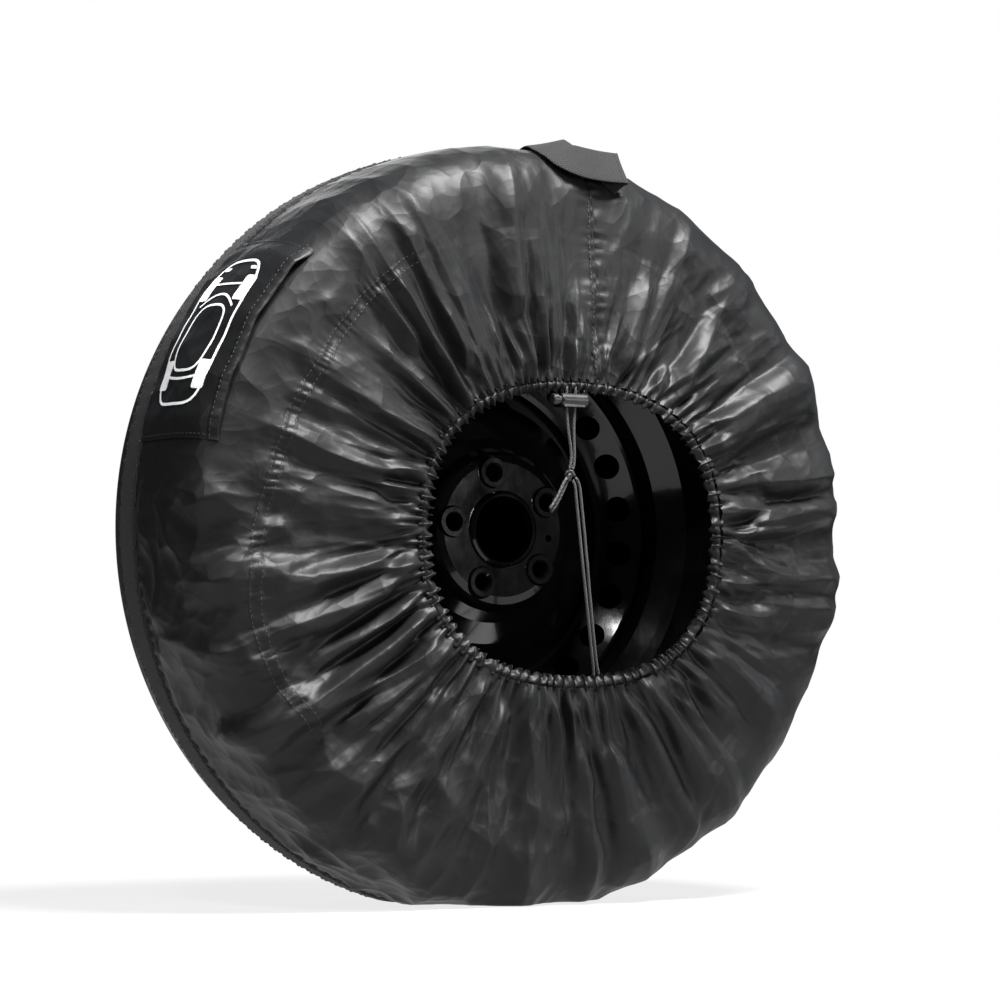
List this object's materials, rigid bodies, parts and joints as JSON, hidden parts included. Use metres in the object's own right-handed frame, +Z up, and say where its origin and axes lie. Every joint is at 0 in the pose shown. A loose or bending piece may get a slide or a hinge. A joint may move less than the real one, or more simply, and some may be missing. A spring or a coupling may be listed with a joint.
{
  "type": "wheel cover",
  "caption": "Gathered nylon cover with a drawcord mouth, marker pocket and carry handle, fitted over a complete road wheel standing on its tread.",
  "frame": {"origin": "centre of the cover's footprint on the floor", "axes": "+Z up, +Y along the axle from the open mouth to the closed back, +X across the wheel to the right as seen from the mouth"},
  "size_m": [0.6604, 0.2183, 0.6561],
  "materials": {
    "nylon": "coated black nylon, soft satin",
    "webbing": "matt woven polypropylene webbing",
    "print": "matt white screen print",
    "cord": "braided polyester cord",
    "lock_plastic": "moulded black plastic",
    "spring_steel": "drawn wire",
    "tyre_rubber": "moulded rubber",
    "black_steel": "gloss black enamel",
    "valve_rubber": "moulded rubber"
  },
  "bodies": {
    "cover": {"tread_panel": "nylon", "front_panel": "nylon", "back_panel": "nylon", "rear_band": "webbing", "front_seam": "nylon", "mouth_hem": "nylon", "top_seam": "nylon", "marker_pocket": "nylon", "pocket_hem": "nylon", "position_mark": "print", "handle_tab_front": "webbing", "handle_tab_rear": "webbing", "drawcord": "cord", "cord_left": "cord", "cord_right": "cord", "cord_knot": "cord", "pull_loop": "cord", "cord_tail_upper": "cord", "cord_tail_lower": "cord", "tyre": "tyre_rubber", "rim_barrel": "black_steel", "wheel_disc": "black_steel", "valve_stem": "valve_rubber"},
    "handle": {"carry_handle": "webbing"},
    "cord_lock": {"cord_lock_body": "lock_plastic", "cord_lock_spring": "spring_steel"},
    "lock_button": {"cord_lock_button": "lock_plastic"},
    "valve_cap": {"valve_cap": "lock_plastic"}
  },
  "joints": [
    {"name": "handle_flop", "type": "hinge", "parent": "cover", "child": "handle", "pos_m": [0.059, -0.094, 0.6281], "axis": [-0.0649, 0.9772, 0.2024], "range_deg": [0, 105]},
    {"name": "lock_slide", "type": "slide", "parent": "cover", "child": "cord_lock", "axis": [0, 0, -1], "range_m": [0, 0.045]},
    {"name": "lock_press", "type": "slide", "parent": "cord_lock", "child": "lock_button", "axis": [1, 0, 0], "range_m": [0, 0.003], "stiffness_N_per_m": 400, "deforming": ["cord_lock_spring"]},
    {"name": "valve_cap_turn", "type": "hinge", "parent": "cover", "child": "valve_cap", "pos_m": [-0.16967, -0.011, 0.37463], "axis": [0.7156, -0.6587, -0.2325], "continuous": true}
  ]
}
